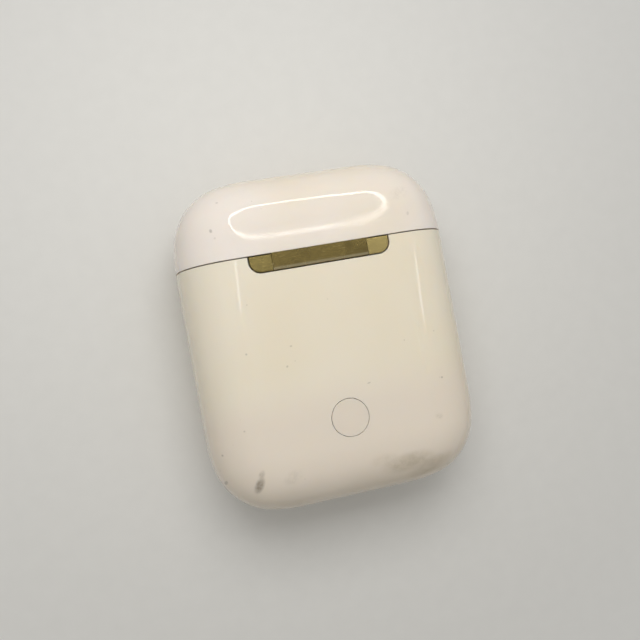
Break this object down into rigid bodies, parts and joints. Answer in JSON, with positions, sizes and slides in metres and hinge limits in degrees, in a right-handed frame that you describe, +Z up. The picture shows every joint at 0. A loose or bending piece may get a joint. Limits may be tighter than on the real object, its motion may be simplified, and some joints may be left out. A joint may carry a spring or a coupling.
{
  "type": "wireless earbuds case",
  "caption": "Pebble-shaped flip-lid pocket charging case for stem-style earbuds, with a flush metal hinge and a round button on its back.",
  "frame": {"origin": "on the resting surface, under the middle of the case, which lies on its front face", "axes": "+X across the width, +Y from the port in the base towards the lid, +Z up out of the back face with the hinge and the button"},
  "size_m": [0.0442, 0.0535, 0.0213],
  "materials": {
    "shell_plastic": "moulded and polished to a high gloss",
    "insert_plastic": "moulded, glossy",
    "hinge_steel": "polished, finely scratched",
    "pin_steel": "ground",
    "magnet_nickel": "nickel plated",
    "battery_foil": "laminated foil pouch",
    "adhesive_film": "pull-out adhesive film",
    "cushion_foam": "open-cell foam",
    "board_laminate": "solder-masked glass laminate",
    "flex_film": "polyimide film",
    "chip_epoxy": "moulded epoxy",
    "lamp_resin": "cast resin",
    "clear_acrylic": "moulded, frosted",
    "black_nylon": "moulded",
    "switch_steel": "stamped",
    "port_steel": "drawn and polished",
    "contact_gold": "gold plated"
  },
  "bodies": {
    "case": {"case_shell": "shell_plastic", "inner_frame": "insert_plastic", "well_cup_left": "insert_plastic", "well_cup_right": "insert_plastic", "stem_tube_left": "insert_plastic", "stem_tube_right": "insert_plastic", "spine_plate": "insert_plastic", "contact_carrier_left": "insert_plastic", "contact_carrier_right": "insert_plastic", "hinge_bracket": "hinge_steel", "hinge_pin": "pin_steel", "body_magnet": "magnet_nickel", "battery_cell": "battery_foil", "battery_adhesive": "adhesive_film", "battery_foam": "cushion_foam", "battery_board": "board_laminate", "battery_flex": "flex_film", "main_board": "board_laminate", "board_chips": "chip_epoxy", "status_led": "lamp_resin", "light_guide": "clear_acrylic", "lid_sensor": "chip_epoxy", "button_switch": "switch_steel", "port_ring": "port_steel", "port_can": "port_steel", "port_contact_block": "black_nylon", "port_contacts": "contact_gold", "contact_springs_left": "contact_gold", "contact_springs_right": "contact_gold"},
    "lid": {"lid_shell": "shell_plastic", "lid_liner": "insert_plastic", "hinge_leaf": "hinge_steel", "lid_magnet": "magnet_nickel", "sensor_magnet": "magnet_nickel"},
    "button": {"button_cap": "shell_plastic", "button_plunger": "black_nylon"}
  },
  "joints": [
    {"name": "lid_hinge", "type": "hinge", "parent": "case", "child": "lid", "pos_m": [0, 0.01172, 0.0206], "axis": [1, 0, 0], "range_deg": [0, 105]},
    {"name": "button_press", "type": "slide", "parent": "case", "child": "button", "axis": [0, 0, -1], "range_m": [0, 0.00025], "stiffness_N_per_m": 1500}
  ]
}
